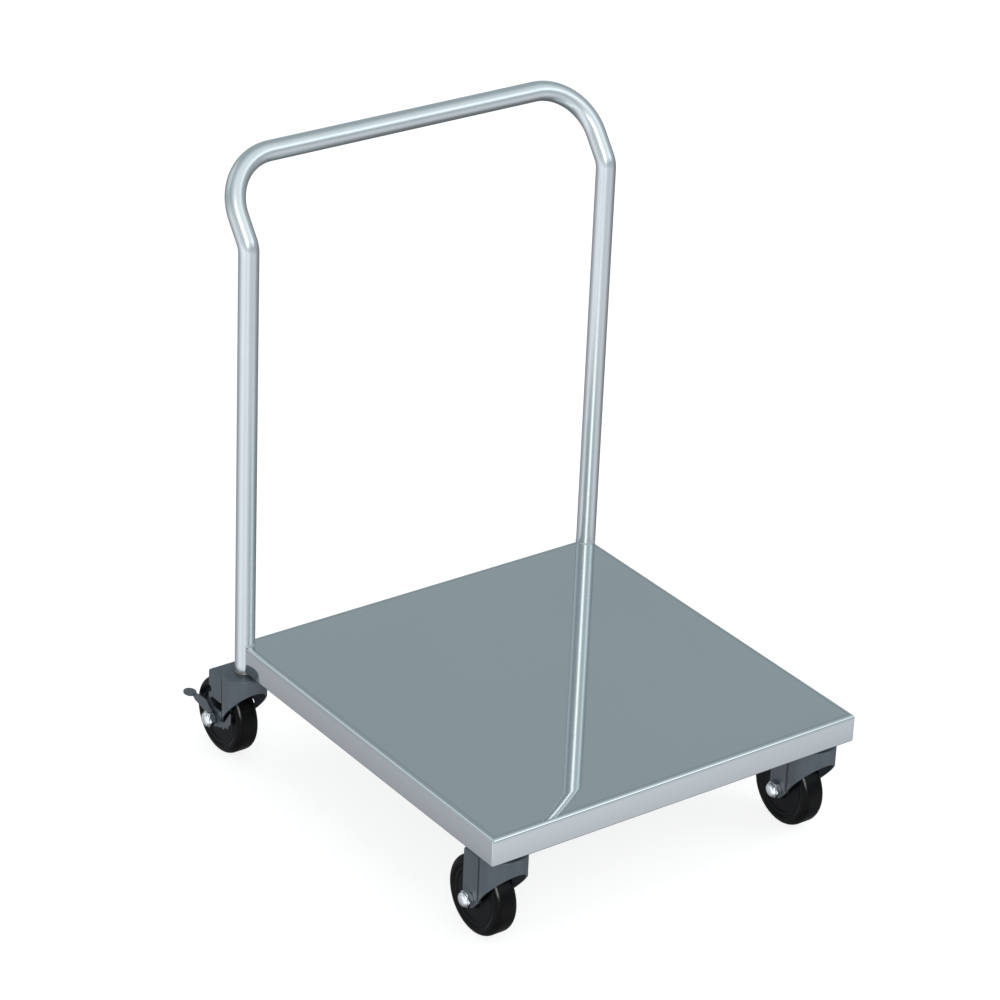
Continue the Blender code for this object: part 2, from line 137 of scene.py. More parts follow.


# Mirror-bright sheet with rolling grain, faint scuffs, painted shade by the folds and painted light on
# the skirts.
def deckSteel():
    paint = Paint("deckSteel", Metallic=1.0)
    grain = paint.noise((260.0, 9.0, 260.0), 4.0, 0.6)      # rolling marks run front to back
    cloud = paint.noise((3.0, 3.0, 3.0), 2.0)
    scuff = paint.noise((38.0, 24.0, 30.0), 5.0, 0.7)
    x, y, z = (paint.node("SeparateXYZ", {}, {0: paint.place}, axis) for axis in "XYZ")
    sideways = deckFinish["half"][0] - x.maths("ABSOLUTE", x)
    endways = deckFinish["half"][1] - x.maths("ABSOLUTE", y - deckFinish["middle"])
    border = x.maths("MINIMUM", sideways, endways)          # distance in from the nearest edge
    line = x.maths("ABSOLUTE", border - deckFinish["shadeLineInset"])
    line = paint.ramp(line, 0.0004, 0.0013, 1.0, 0.0)       # painted shade line beside the bend
    steel = paint.blend(cloud, deckFinish["dark"], deckFinish["light"])
    # Painted light: below the deck top the skirts get a lighter colour that stands in for the bright
    # floor they reflect.
    below = paint.ramp(z, deckFinish["skirtTop"], deckFinish["skirtTop"] - 0.002)
    steel = paint.blend(below, steel, deckFinish["skirt"])
    # Painted shade: the steel turns darker along the line beside the folds.
    paint.drive("Base Color", paint.blend(0.75 * line, steel, deckFinish["bent"]))
    worn = deckFinish["scuff"] * paint.ramp(scuff, 0.6, 0.85)
    paint.drive("Roughness", deckFinish["smooth"] + deckFinish["grain"] * grain + worn)
    paint.bump(grain, 0.000003)
    return paint.material


tubeFinish = dict(dark=rgb(0.61, 0.65, 0.67), light=rgb(0.67, 0.71, 0.73), smooth=0.25, polish=0.08)


# Satin tube: fine rings round it and a slow change of tone.
def tubeSteel():
    paint = Paint("tubeSteel", Metallic=1.0)
    polish = paint.noise((40.0, 40.0, 420.0), 4.0, 0.6)
    cloud = paint.noise((14.0, 14.0, 5.0), 2.0)
    paint.drive("Base Color", paint.blend(cloud, tubeFinish["dark"], tubeFinish["light"]))
    paint.drive("Roughness", tubeFinish["smooth"] + tubeFinish["polish"] * polish)
    paint.bump(polish, 0.000004)
    return paint.material


forkFinish = dict(dark=rgb(0.058, 0.071, 0.085), light=rgb(0.090, 0.107, 0.125),
                  rubbed=rgb(0.22, 0.24, 0.26), smooth=0.30, cloud=0.12)


# Thick dark coat with orange peel, a cloudy tone and small spots rubbed pale.
def forkGrey():
    paint = Paint("forkGrey", Metallic=0.35)
    peel = paint.noise((420.0, 420.0, 420.0), 2.0)
    cloud = paint.noise((30.0, 30.0, 30.0), 4.0)
    rub = paint.ramp(paint.noise((90.0, 90.0, 60.0), 6.0, 0.7), 0.66, 0.80)
    base = paint.blend(cloud, forkFinish["dark"], forkFinish["light"])
    paint.drive("Base Color", paint.blend(0.35 * rub, base, forkFinish["rubbed"]))
    paint.drive("Roughness", forkFinish["smooth"] + forkFinish["cloud"] * cloud)
    paint.bump(peel, 0.00002)
    return paint.material


rubberFinish = dict(black=rgb(0.002, 0.002, 0.0022), dusty=rgb(0.012, 0.012, 0.012),
                    moulded=rgb(0.004, 0.004, 0.0045), shine=0.09)


# Smooth black rubber, with dust in spots and fine pores.
def treadBlack():
    paint = Paint("treadBlack", Specular_IOR_Level=rubberFinish["shine"])
    dust = paint.ramp(paint.noise((60.0, 60.0, 60.0), 6.0, 0.7), 0.5, 0.85)
    pores = paint.noise((900.0, 900.0, 900.0), 2.0)
    paint.drive("Base Color", paint.blend(0.2 * dust, rubberFinish["black"], rubberFinish["dusty"]))
    paint.drive("Roughness", 0.26 + 0.16 * dust)
    paint.bump(pores, 0.000005)
    return paint.material


# Moulded black plastic with a fleck.
def coreBlack():
    paint = Paint("coreBlack", Specular_IOR_Level=rubberFinish["shine"])
    fleck = paint.noise((300.0, 300.0, 300.0), 3.0)
    paint.drive("Base Color", paint.blend(fleck, rubberFinish["black"], rubberFinish["moulded"]))
    paint.drive("Roughness", 0.28 + 0.14 * fleck)
    paint.bump(fleck, 0.00001)
    return paint.material


metalFinish = dict(chrome=(rgb(0.84, 0.87, 0.89), rgb(0.93, 0.94, 0.95)),
                   zinc=(rgb(0.40, 0.40, 0.38), rgb(0.56, 0.56, 0.53)),
                   weld=(rgb(0.44, 0.45, 0.46), rgb(0.62, 0.63, 0.64)))


# Bright plated metal with a light haze.
def boltChrome():
    paint = Paint("boltChrome", Metallic=1.0)
    haze = paint.noise((200.0, 200.0, 200.0), 3.0)
    paint.drive("Base Color", paint.blend(haze, *metalFinish["chrome"]))
    paint.drive("Roughness", 0.12 + 0.08 * haze)
    return paint.material


# Dull plated steel with spangle.
def zincSteel():
    paint = Paint("zincSteel", Metallic=1.0)
    spangle = paint.noise((120.0, 120.0, 120.0), 4.0, 0.6)
    paint.drive("Base Color", paint.blend(spangle, *metalFinish["zinc"]))
    paint.drive("Roughness", 0.30 + 0.20 * spangle)
    return paint.material


# Rippled bead, greyer than the tube.
def weldSteel():
    paint = Paint("weldSteel", Metallic=1.0)
    ripple = paint.noise((500.0, 500.0, 500.0), 3.0)
    paint.drive("Base Color", paint.blend(ripple, *metalFinish["weld"]))
    paint.drive("Roughness", 0.22 + 0.16 * ripple)
    paint.bump(ripple, 0.00004)
    return paint.material


finishes = dict(deck_steel=deckSteel(), tube_steel=tubeSteel(), fork_grey=forkGrey(),
                tyre_black=treadBlack(), core_black=coreBlack(), bolt_chrome=boltChrome(),
                zinc_steel=zincSteel())
weldFinish = weldSteel()
print("finishes made")


# Quads between neighbouring rows and columns of a grid of points.
def gridFaces(rows, columns, closeRows=False, closeColumns=False):
    row = np.arange(rows if closeRows else rows - 1)[:, None]
    column = np.arange(columns if closeColumns else columns - 1)[None, :]
    nextRow = (row + 1) % rows
    nextColumn = (column + 1) % columns
    quads = np.stack([row * columns + column, row * columns + nextColumn,
                      nextRow * columns + nextColumn, nextRow * columns + column], axis=-1)
    return quads.reshape(-1, 4)


# Several grids become one mesh; touching points are merged and the normals turned outwards.
def meshOf(name, grids, caps=()):
    points = np.concatenate([grid.reshape(-1, 3) for grid, _, _ in grids])
    faces = []
    start = 0
    for grid, closeRows, closeColumns in grids:
        rows, columns = grid.shape[:2]
        faces += (gridFaces(rows, columns, closeRows, closeColumns) + start).tolist()
        start += rows * columns
    faces += [list(cap) for cap in caps]
    mesh = bpy.data.meshes.new(name)
    mesh.from_pydata((points * mm).tolist(), [], faces)
    work = bmesh.new()
    work.from_mesh(mesh)
    bmesh.ops.remove_doubles(work, verts=work.verts, dist=2e-6)
    bmesh.ops.dissolve_degenerate(work, edges=work.edges, dist=1e-7)
    bmesh.ops.recalc_face_normals(work, faces=work.faces)
    work.to_mesh(mesh)
    work.free()
    return mesh


# An object for a mesh, in the scene.
def linked(name, mesh):
    made = bpy.data.objects.new(name, mesh)
    bpy.context.scene.collection.objects.link(made)
    return made


# Shading, finish, body, slot and the CAD nodes that the piece stands in for.
def dressed(made, body, slot, replaced, sharpAngle, finish=None):
    made.data.shade_smooth()
    made.data.set_sharp_from_angle(angle=np.radians(sharpAngle))
    made.data.materials.clear()
    made.data.materials.append(finish or finishes[slot])
    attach(made, body)
    if replaced:
        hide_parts(*replaced)
    return made


# A finished piece from its grids and end faces.
def piece(name, grids, body, slot, replaced=(), caps=(), sharpAngle=32.0, finish=None):
    made = linked(name, meshOf(name, grids, caps))
    return dressed(made, body, slot, replaced, sharpAngle, finish)


# Solids are joined, cut or intersected one after the other; the helpers are removed afterwards.
def carved(made, steps):
    for operation, other in steps:
        change = made.modifiers.new(operation, "BOOLEAN")
        change.operation = operation
        change.object = other
        change.solver = "EXACT"
    bpy.context.view_layer.update()
    finished = made.evaluated_get(bpy.context.evaluated_depsgraph_get())
    result = bpy.data.meshes.new_from_object(finished)
    made.modifiers.clear()
    made.data = result
    for _, other in steps:
        bpy.data.objects.remove(other, do_unlink=True)
    return made


# Corners of an outline become arcs that touch both sides: an arc starts the radius divided by the
# tangent of half the corner's angle away, and its centre lies on the corner's bisector.
def rounded(corners, radii, steps=5, closed=True):
    corners = np.asarray(corners, float)
    radii = np.broadcast_to(np.asarray(radii, float), len(corners))
    points = []
    for index, corner in enumerate(corners):
        if (not closed and index in (0, len(corners) - 1)) or radii[index] == 0:
            points.append(corner[None])
            continue
        before = corners[index - 1] - corner
        after = corners[(index + 1) % len(corners)] - corner
        before /= np.linalg.norm(before)
        after /= np.linalg.norm(after)
        half = np.arccos(np.clip(before @ after, -1, 1)) / 2
        reach = radii[index] / np.tan(half)
        middle = (before + after) / np.linalg.norm(before + after)
        centre = corner + middle * radii[index] / np.sin(half)
        first = corner + before * reach - centre
        last = corner + after * reach - centre
        turn = np.linspace(0, 1, steps + 1)[:, None]
        sweep = np.pi - 2 * half
        points.append(centre + (np.sin((1 - turn) * sweep) * first + np.sin(turn * sweep) * last)
                      / np.sin(sweep))
    return np.concatenate(points)


# A closed (radius, along) profile turned about a line parallel to X or Z through the centre.
def turned(profile, sides, centre, axis):
    angle = np.arange(sides) * 2 * np.pi / sides
    radius = profile[:, 0][:, None]
    along = np.broadcast_to(profile[:, 1][:, None], (len(profile), sides))
    across = radius * np.cos(angle)
    other = radius * np.sin(angle)
    grid = np.stack([across, other, along] if axis == "z" else [along, across, other], axis=-1)
    return grid + np.asarray(centre)


# A closed outline pushed from low to high; at both faces the rim rolls inwards by a quarter circle.
def plate(outline, low, high, edge=0.4, steps=3):
    after = np.roll(outline, -1, axis=0) - outline
    before = outline - np.roll(outline, 1, axis=0)
    along = (after / np.linalg.norm(after, axis=1)[:, None]
             + before / np.linalg.norm(before, axis=1)[:, None])
    inward = np.stack([-along[:, 1], along[:, 0]], axis=1)
    inward /= np.linalg.norm(inward, axis=1)[:, None]
    ahead = np.roll(outline, -1, axis=0)
    area = np.sum(outline[:, 0] * ahead[:, 1] - ahead[:, 0] * outline[:, 1])
    inward *= np.sign(area)
    turn = np.linspace(0, np.pi / 2, steps + 1)
    depth = np.concatenate([edge * (1 - np.sin(turn)), edge * (1 - np.cos(turn))])
    height = np.concatenate([low + edge * (1 - np.cos(turn)), high - edge * (1 - np.sin(turn))])
    ring = outline[None] + inward[None] * depth[:, None, None]
    position = np.broadcast_to(height[:, None], ring.shape[:2])
    return ring, position


# A plate whose faces look along X; its outline is (y, z) about the centre.
def plateAcrossX(outline, low, high, centre, edge=0.4):
    ring, position = plate(outline, low, high, edge)
    return np.stack([position, ring[..., 0], ring[..., 1]], axis=-1) + np.asarray(centre)


# A plate whose faces look along Z; its outline is (x, y) about the centre.
def plateAcrossZ(outline, low, high, centre, edge=0.4):
    ring, position = plate(outline, low, high, edge)
    return np.stack([ring[..., 0], ring[..., 1], position], axis=-1) + np.asarray(centre)


# The first and last rows of a grid as two flat faces.
def endCaps(grid, start=0):
    rows, columns = grid.shape[:2]
    last = start + (rows - 1) * columns
    return [range(start, start + columns), range(last, last + columns)]


# A closed outline pushed straight along one axis, as a closed solid.
def prism(outline, low, high, axis):
    outline = np.asarray(outline, float)
    level = np.broadcast_to(np.array([low, high], float)[:, None], (2, len(outline)))
    first, second = (np.broadcast_to(outline[:, part], level.shape) for part in (0, 1))
    order = dict(x=(level, first, second), y=(first, level, second), z=(first, second, level))[axis]
    grid = np.stack(order, axis=-1)
    return linked("prism", meshOf("prism", [(grid, False, True)], endCaps(grid)))


# A closed round bar along one axis, used for cutting.
def rod(radius, low, high, centre, axis, sides=48):
    profile = np.array([(0, low), (radius, low), (radius, high), (0, high)], float)
    grid = turned(profile, sides, centre, axis)
    return linked("rod", meshOf("rod", [(grid, False, True)]))


# Middle of a CAD node's box, in millimetres.
def middleOf(node):
    low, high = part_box(node)
    return (np.array(low) + np.array(high)) / 2 / mm


deckLow, deckHigh = (np.array(side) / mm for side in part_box("deck_tray"))
postX, postY = abs(middleOf("insert_rear_left")[0]), middleOf("insert_rear_left")[1]
corners = ["front_left", "front_right", "rear_left", "rear_right"]


deck = dict(sheet=1.5, fold=4.5, lowFold=2.0, flange=11.0, reach=40.0, cornerRadius=2.4, cornerSteps=11,
            notch=12.8, seam=0.7, seamWidth=0.12)


# Section points are (inset from the skirt's face, height); the outer line runs from the top down to the
# flange, the inner line is the same section moved inwards by the sheet's thickness.
def deckSection():
    top, bottom = deckHigh[2], deckLow[2]
    sheet, flange, reach = deck["sheet"], deck["flange"], deck["reach"]
    outer = rounded([(reach, top), (0, top), (0, bottom), (flange, bottom)],
                    [0, deck["fold"], deck["lowFold"], 0], 8, closed=False)
    inner = rounded([(flange, bottom + sheet), (sheet, bottom + sheet), (sheet, top - sheet),
                     (reach, top - sheet)], [0, 0.6, deck["fold"] - sheet, 0], 8, closed=False)
    return np.concatenate([outer, inner])


# The section carried round a rectangle with rounded corners; in the middle of each corner the radius
# dips by a narrow bell curve, the seam between two folded skirts.
def deckRings():
    section = deckSection()
    half = (deckHigh[:2] - deckLow[:2]) / 2
    centre = (deckHigh[:2] + deckLow[:2]) / 2
    radius = deck["cornerRadius"]
    turn = np.linspace(0, np.pi / 2, deck["cornerSteps"])
    angle = (turn[None] + np.array([0, 0.5, 1.0, 1.5])[:, None] * np.pi).ravel()
    signs = np.repeat([[1, 1], [-1, 1], [-1, -1], [1, -1]], deck["cornerSteps"], axis=0)
    inset = section[:, 0][:, None]
    corner = np.maximum(inset, radius)
    away = (np.tile(turn, 4) - np.pi / 4) / deck["seamWidth"]
    seam = deck["seam"] * np.exp(-away ** 2)
    bend = np.maximum(radius - inset, 0.02) * (1 - seam / radius)
    across = centre[0] + signs[:, 0] * (half[0] - corner) + bend * np.cos(angle)
    along = centre[1] + signs[:, 1] * (half[1] - corner) + bend * np.sin(angle)
    height = np.broadcast_to(section[:, 1][:, None], across.shape)
    return np.stack([across, along, height], axis=-1)


def makeDeck():
    rings = deckRings()
    tray = linked("deckTray", meshOf("deckTray", [(rings, False, True)], endCaps(rings)))
    low, high = deckLow[2] - 2, deckHigh[2] + 4
    notches = [("DIFFERENCE", rod(deck["notch"], low, high, (x, postY, 0), "z", 72))
               for x in (-postX, postX)]
    dressed(carved(tray, notches), "root", "deck_steel", ["deck_tray"], 28.0)


makeDeck()
print("deck made")


tube = dict(radius=12.5, wall=1.5, sides=72, edge=0.5)
bow = dict(kink=527.0, tilt=np.radians(37.0), kinkBend=22.0, kinkSteps=10, straight=38.3, bend=68.5,
           bendSteps=28)
lean = np.array([0, np.sin(bow["tilt"]), np.cos(bow["tilt"])])
upright = np.array([0.0, 0.0, 1.0])
backward = np.array([0.0, 1.0, 0.0])
rightward = np.array([1.0, 0.0, 0.0])
kinkHeight = deckHigh[2] + bow["kink"]
kinkReach = bow["kinkBend"] * np.tan(bow["tilt"] / 2)       # from the corner to where the bend starts


# The wall's section turned about the post; its foot is chamfered and its top meets the bow.
def makePost(side):
    x = postX if side == "right" else -postX
    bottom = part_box("post_" + side)[0][2] / mm
    top = kinkHeight - kinkReach
    edge = tube["edge"]
    outer, inner = tube["radius"], tube["radius"] - tube["wall"]
    profile = np.array([(inner, bottom + edge), (inner + edge, bottom), (outer - edge, bottom),
                        (outer, bottom + edge), (outer, bottom + 40), (outer, top), (inner, top)])
    grid = turned(profile, tube["sides"], (x, postY, 0), "z")
    piece("post" + side.capitalize(), [(grid, True, True)], "root", "tube_steel", ["post_" + side])


# Left half of the centre line with two directions square to it: a tight bend backwards, straight on up
# the slope, then a wide quarter bend in the sloping plane; the right half is its mirror image.
def bowLine():
    kink = np.linspace(0, bow["tilt"], bow["kinkSteps"])[:, None]
    start = np.array([-postX, postY, kinkHeight - kinkReach])
    lower = start + bow["kinkBend"] * (np.sin(kink) * upright + (1 - np.cos(kink)) * backward)
    lowerFace = np.sin(kink) * upright - np.cos(kink) * backward
    turn = np.linspace(0, np.pi / 2, bow["bendSteps"])[:, None]
    base = np.array([-postX, postY, kinkHeight]) + lean * bow["straight"]
    upper = base + bow["bend"] * ((1 - np.cos(turn)) * rightward + np.sin(turn) * lean)
    upperSide = np.cos(turn) * rightward - np.sin(turn) * lean
    upperFace = np.broadcast_to(np.cross(rightward, lean), upper.shape)
    line = np.concatenate([lower, upper])
    side = np.concatenate([np.broadcast_to(rightward, lower.shape), upperSide])
    face = np.concatenate([lowerFace, upperFace])
    mirror = np.array([-1, 1, 1])
    return [np.concatenate([half, half[::-1] * mirror]) for half in (line, side, face)]


# A circle carried along the line, out on the tube's outer wall and back on its inner wall.
def makeBow():
    line, side, face = bowLine()
    angle = np.arange(tube["sides"])[:, None] * 2 * np.pi / tube["sides"]
    ring = np.cos(angle) * side[:, None] + np.sin(angle) * face[:, None]
    outer = line[:, None] + tube["radius"] * ring
    inner = line[:, None] + (tube["radius"] - tube["wall"]) * ring
    grid = np.concatenate([outer, inner[::-1]])
    piece("handleBow", [(grid, True, True)], "root", "tube_steel", ["handle_bow"])


footWeld = dict(radius=12.7, size=0.8, first=148, last=302, steps=110, ripples=30, depth=0.18)


# A thin bead: a small circle carried along an open path, its radius rippled by a sine and brought to a
# point at both ends.
def bead(name, path, radius, ripples):
    ahead = np.gradient(path, axis=0)
    ahead /= np.linalg.norm(ahead, axis=1)[:, None]
    side = np.cross(ahead, upright)
    side /= np.linalg.norm(side, axis=1)[:, None]
    lift = np.cross(side, ahead)
    wave = np.sin(np.linspace(0, 2 * np.pi * ripples, len(path)))
    swell = (radius * (1 + footWeld["depth"] * wave))[:, None, None]
    swell[[0, -1]] = 0.001
    angle = (np.arange(10) * 2 * np.pi / 10)[None, :, None]
    ring = path[:, None] + swell * (np.cos(angle) * side[:, None] + np.sin(angle) * lift[:, None])
    piece(name, [(ring, False, True)], "root", "tube_steel", (), (), 60.0, weldFinish)


# The path is the arc of the post's foot that stands on the deck.
def makeWelds():
    turn = np.radians(np.linspace(footWeld["first"], footWeld["last"], footWeld["steps"]))
    reach = footWeld["radius"]
    height = np.full_like(turn, deckHigh[2] + 0.1)
    for side, x, sign in (("Left", -postX, -1), ("Right", postX, 1)):
        foot = np.stack([x + sign * reach * np.cos(turn), postY + reach * np.sin(turn), height], axis=1)
        bead("footWeld" + side, foot, footWeld["size"], footWeld["ripples"])


makePost("left")
makePost("right")
makeBow()
makeWelds()
print("handle made")


castor = dict(trail=38.0, head=78.0, shoulder=64.4, sheet=2.3, leg=20.5, web=19.3, hood=28.0, back=12.5,
              fold=15.5, step=0.9, legEnd=12.5, rimFront=60.0, topFold=4.5, headFold=4.2,
              stemBore=6.3, axleBore=4.3, notch=5.0, notchHeight=36.0, windowEdge=6.4,
              window=[(9.5, 14), (9.5, 27), (-25.5, 27), (-25.5, 14)])


# Half of the fork seen from above, about the swivel: leg, a step and groove at the fold, a web that
# ends where it touches the round head; then mirrored.
def legPlan(inset, back):
    web = np.array([castor["web"] - inset, castor["trail"] - castor["fold"] - castor["step"]])
    head = castor["hood"] - inset
    touch = np.arctan2(web[1], web[0]) - np.arccos(head / np.linalg.norm(web))
    end = (head - 0.1) * np.array([np.cos(touch), np.sin(touch)])
    leg = castor["leg"] - inset
    groove = web[0] - 0.7
    half = np.array([(leg, back), (leg, web[1] + castor["step"]), (groove, web[1] + 0.3),
                     (groove, web[1] - 0.7), web - [0, 1.4], end])
    radii = [0, 0.8, 0.4, 0.4, 0.5, 0]
    return rounded(np.concatenate([half, half[::-1] * [-1, 1]]), radii + radii[::-1], 3)


# Legs under a folded shoulder, joined to a round head that stands higher; all of it smaller by the
# inset.
def forkSolid(inset, low, back):
    top = castor["shoulder"] - inset
    leg = castor["leg"] - inset
    fold = castor["topFold"] - inset
    legs = prism(legPlan(inset, back), low, top + 1, "z")
    wide = leg + 0.001                                      # no face of the arch lies on a leg's face
    front = rounded([(wide, low - 5), (wide, top), (-wide, top), (-wide, low - 5)],
                    [0, fold, fold, 0], 8)
    arch = prism(front, -20, back + 10, "y")
    radius, high, edge = (castor[key] - inset for key in ("hood", "head", "headFold"))
    profile = rounded([(0, low), (radius, low), (radius, high), (0, high)], [0, 0, edge, 0], 6)
    grid = turned(profile, 144, (0, 0, 0), "z")
    head = linked("head", meshOf("head", [(grid, False, True)]))
    return carved(legs, [("INTERSECT", arch), ("UNION", head)])


# Seen from the side, about the axle: round leg end, back edge, folded top corner, and a rim that rises
# in a straight line from the leg end to the nose.
def forkSide():
    nose = -castor["trail"] - castor["hood"] - 0.5
    end, back, top, rim = (castor[key] for key in ("legEnd", "back", "shoulder", "rimFront"))
    reach = np.hypot(nose, rim)
    touch = np.arctan2(rim, nose) + np.arccos(end / reach)
    turn = np.linspace(touch, np.radians(358), 30)
    under = end * np.stack([np.cos(turn), np.sin(turn)], axis=1)
    upper = rounded([(back, 10), (back, top), (2, top), (2, 100), (nose - 8, 100), (nose - 8, rim),
                     (nose, rim)], [0, castor["topFold"], 0, 0, 0, 0, 0], 8, closed=False)
    return np.concatenate([under, upper])


# The full shape less the same shape one sheet's thickness smaller, trimmed to the side view, with bores
# for the stem and the axle and, round a brake, a window and a stop notch through both legs.
def forkMesh(braked):
    trail = castor["trail"]
    solid = forkSolid(0.0, -16.0, trail + 18)
    hollow = forkSolid(castor["sheet"], -22.0, trail + 26)
    side = prism(forkSide() + [trail, 0], -40, 40, "x")
    steps = [("DIFFERENCE", hollow), ("INTERSECT", side),
             ("DIFFERENCE", rod(castor["stemBore"], 60, 90, (0, 0, 0), "z")),
             ("DIFFERENCE", rod(castor["axleBore"], -30, 30, (0, trail, 0), "x"))]
    if braked:
        notch = (0, trail + castor["back"] - 1, castor["notchHeight"])
        window = rounded(castor["window"], castor["windowEdge"], 8) + [trail, 0]
        steps += [("DIFFERENCE", rod(castor["notch"], -30, 30, notch, "x")),
                  ("DIFFERENCE", prism(window, -30, 30, "x"))]
    shape = carved(solid, steps)
    mesh = shape.data
    bpy.data.objects.remove(shape, do_unlink=True)
    work = bmesh.new()
    work.from_mesh(mesh)
    bmesh.ops.remove_doubles(work, verts=work.verts, dist=2e-5)
    bmesh.ops.dissolve_degenerate(work, edges=work.edges, dist=5e-6)
    bmesh.ops.triangulate(work, faces=work.faces)
    work.to_mesh(mesh)
    work.free()
    return mesh


forkMeshes = {braked: forkMesh(braked) for braked in (False, True)}


# The fork's mesh moved to its own castor.
def makeFork(corner, axle):
    mesh = forkMeshes["rear" in corner].copy()
    swivel = axle - [0, castor["trail"], 0]
    mesh.transform(Matrix.Translation((swivel * mm).tolist()))
    shell = linked("fork_" + corner + "_shell", mesh)
    dressed(shell, "swivel_" + corner, "fork_grey", ["fork_" + corner], 33.0)


wheel = dict(radius=50.0, halfWidth=16.0, shoulder=8.4, bore=36.85, sides=128, bevel=1.6, sleeve=8.3,
             hub=17.6, hubRadius=(13.5, 15.0), web=13.4, rimRadius=(31.5, 33.0), rim=14.6)


# The tyre's rounded section and the core's section, hub, web and rim, each turned about the axle.
def makeWheel(corner, axle):
    half, radius, bore = wheel["halfWidth"], wheel["radius"], wheel["bore"]
    level = half - wheel["bevel"]
    tread = rounded([(radius, -half), (radius, half), (bore + 4, half), (bore, level),
                     (bore, -level), (bore + 4, -half)],
                    [wheel["shoulder"], wheel["shoulder"], 1.2, 0.4, 0.4, 1.2], 10)
    grid = turned(tread, wheel["sides"], axle, "x")
    tyre = piece("tyre_" + corner + "_tread", [(grid, True, True)], "wheel_" + corner, "tyre_black",
                 ["tyre_" + corner], (), 40.0)
    (hubTop, hubFoot), (rimFoot, rimTop) = wheel["hubRadius"], wheel["rimRadius"]
    side = np.array([(wheel["sleeve"], wheel["hub"]), (hubTop, wheel["hub"]), (hubFoot, wheel["web"]),
                     (rimFoot, wheel["web"]), (rimTop, wheel["rim"]), (bore - 0.1, wheel["rim"])])
    radii = [0.4, 0.8, 1.5, 1.0, 0.6, 0.3]
    core = rounded(np.concatenate([side * [1, -1], side[::-1]]), radii + radii[::-1], 5)
    grid = turned(core, wheel["sides"], axle, "x")
    piece("wheel_" + corner + "_core", [(grid, True, True)], "wheel_" + corner, "core_black",
          ["wheel_core_" + corner], (), 40.0)
    return tyre


cap = dict(across=19.0, hexHeight=6.5, domeRadius=9.2, domeHeight=4.5, sides=144, shank=4.0,
           heights=[0, 0, 0.5, 1.4, 4.6, 5.5, 6.1, 6.4, 6.5],
           limits=[0, 10.0, 10.4, 11.2, 11.2, 10.6, 10.0, 9.5, 9.2])


# A hexagon cut by a chamfer cone, under a dome: the radius is the smaller of the hexagon's and the
# profile's, and on the dome the height follows a sine and the radius a cosine, each with its own power.
def capGrid(face, outward, axle):
    angle = np.arange(cap["sides"]) * 2 * np.pi / cap["sides"]
    sector = np.mod(angle, np.pi / 3) - np.pi / 6
    hexagon = cap["across"] / 2 / np.cos(sector)
    swell = np.linspace(0, np.pi / 2, 12)[1:]
    dome = cap["hexHeight"] + cap["domeHeight"] * np.sin(swell) ** 0.8
    height = np.concatenate([cap["heights"], dome])
    limit = np.concatenate([cap["limits"], cap["domeRadius"] * np.maximum(np.cos(swell), 0) ** 0.7])
    flats = np.where(height[:, None] < cap["hexHeight"] - 0.05, hexagon, np.inf)
    radius = np.minimum(limit[:, None], flats)
    x = np.broadcast_to(face + outward * height[:, None], radius.shape)
    return np.stack([x, radius * np.cos(angle), radius * np.sin(angle)], axis=-1) + axle


# A domed cap on each side of the fork and a plain shank between them.
def makeAxle(corner, axle):
    boltLeft, nutLeft = (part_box(node + corner)[0][0] / mm for node in ("axle_bolt_", "axle_nut_"))
    leftFace = boltLeft - axle[0] + cap["hexHeight"] + cap["domeHeight"]
    rightFace = nutLeft - axle[0]
    head = capGrid(leftFace, -1, axle)
    start, end = leftFace - 0.2, rightFace + 4
    shank = np.array([(0, start), (cap["shank"], start), (cap["shank"], end), (0, end)])
    shank = turned(shank, 32, axle, "x")
    piece("bolt_" + corner + "_head", [(head, False, True), (shank, False, True)], "swivel_" + corner,
          "bolt_chrome", ["axle_bolt_" + corner], (), 24.0)
    nut = capGrid(rightFace, 1, axle)
    piece("nut_" + corner + "_cap", [(nut, False, True)], "swivel_" + corner, "bolt_chrome",
          ["axle_nut_" + corner], (), 24.0)


stem = dict(pin=6.0, foot=9.0, footHeight=6.0, flange=12.0, flangeHeight=1.5, neck=10.0, gap=0.3)


# Foot and pin inside the fork, a flange over its head, a round neck up to the deck, a stud into it.
def makeStem(corner, axle):
    low, high = (np.array(side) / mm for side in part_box("stem_" + corner))
    centre = ((low + high) / 2) * [1, 1, 0]
    bottom, footTop = low[2], low[2] + stem["footHeight"]
    flange = axle[2] + castor["head"] + stem["gap"]
    neckFoot, neckTop = flange + stem["flangeHeight"], deckLow[2] - stem["gap"]
    pin, foot, neck, wide = stem["pin"], stem["foot"], stem["neck"], stem["flange"]
    profile = rounded([(0, bottom), (foot, bottom), (foot, footTop), (pin, footTop), (pin, flange),
                       (wide, flange), (wide, neckFoot), (neck, neckFoot), (neck, neckTop),
                       (pin, neckTop), (pin, high[2]), (0, high[2])],
                      [0, 1.5, 0.5, 0.3, 0.3, 0.5, 0.5, 0.4, 0.5, 0.3, 0.8, 0], 4)
    grid = turned(profile, 64, centre, "z")
    piece("stem_" + corner + "_neck", [(grid, False, True)], "root", "zinc_steel", ["stem_" + corner],
          (), 35.0)


lockPlate = dict(outline=[(-9, -5), (-15, -8), (-20, -4), (-25, -6), (-29, 0), (-34, -1), (-37, 6),
                          (-40, 8), (-40.5, 26), (-27, 6), (-16, 2), (-9, 8)], corner=0.7, edge=0.3)


# The toothed outline as a sheet on the outer leg.
def makeLockPlate(corner, axle):
    node = "lock_plate_" + corner
    low, high = (side[0] / mm - axle[0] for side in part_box(node))
    grid = plateAcrossX(rounded(lockPlate["outline"], lockPlate["corner"], 3), low, high, axle,
                        lockPlate["edge"])
    piece(node + "_sheet", [(grid, False, True)], "swivel_" + corner, "fork_grey", [node],
          endCaps(grid), 30.0)


